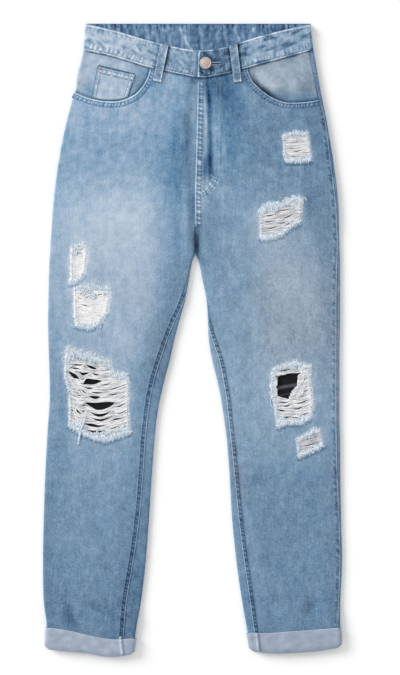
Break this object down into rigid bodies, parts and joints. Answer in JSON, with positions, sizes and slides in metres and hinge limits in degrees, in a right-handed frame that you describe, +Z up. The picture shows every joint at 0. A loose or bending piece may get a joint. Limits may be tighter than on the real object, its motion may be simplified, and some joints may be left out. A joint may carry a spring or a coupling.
{
  "type": "ripped jeans",
  "caption": "Slim light-blue denim jeans laid flat, front up, with a lapped fly, a slant pocket, ripped thighs and knees bridged by white threads, and turned-up hems.",
  "frame": {"origin": "centre of the bounding box's underside, on the surface the jeans lie on", "axes": "+Y along the jeans from the hems to the waist, +X across to the wearer's left side, +Z up out of the front of the jeans"},
  "size_m": [0.448, 0.9479, 0.0129],
  "materials": {
    "denim": "light-blue washed denim twill, matt, mottled",
    "pale_denim": "paler worn denim twill, matt",
    "reverse": "grey-lavender reverse side of the denim, matt",
    "cotton": "plain white cotton pocketing, matt",
    "zip_tape": "woven zip tape with its teeth, closed",
    "white_threads": "loose white cotton weft threads",
    "knee_cloth": "thin dark cloth behind the knee rips, matt",
    "button_metal": "dull silver-grey shank button, plain"
  },
  "bodies": {
    "root": {"back_left": "denim", "back_pocket_left": "denim", "back_pocket_right": "denim", "back_right": "denim", "belt_loop_centre_back": "denim", "belt_loop_front_left": "denim", "belt_loop_front_right": "denim", "belt_loop_side_left": "denim", "belt_loop_side_right": "denim", "button": "button_metal", "coin_pocket": "pale_denim", "cuff_left": "reverse", "cuff_right": "reverse", "fly_shield": "denim", "front_left": "denim", "front_right": "denim", "knee_backing_left": "knee_cloth", "knee_backing_right": "knee_cloth", "pocket_bag_left": "cotton", "pocket_bag_right": "cotton", "pocket_facing_left": "pale_denim", "pocket_facing_right": "pale_denim", "threads_hip_left": "white_threads", "threads_knee_left": "white_threads", "threads_knee_right": "white_threads", "threads_shin_left": "white_threads", "threads_thigh_left": "white_threads", "threads_thigh_right": "white_threads", "threads_thigh_upper_right": "white_threads", "waistband": "denim", "yoke_left": "denim", "yoke_right": "denim", "zip": "zip_tape"}
  },
  "joints": []
}
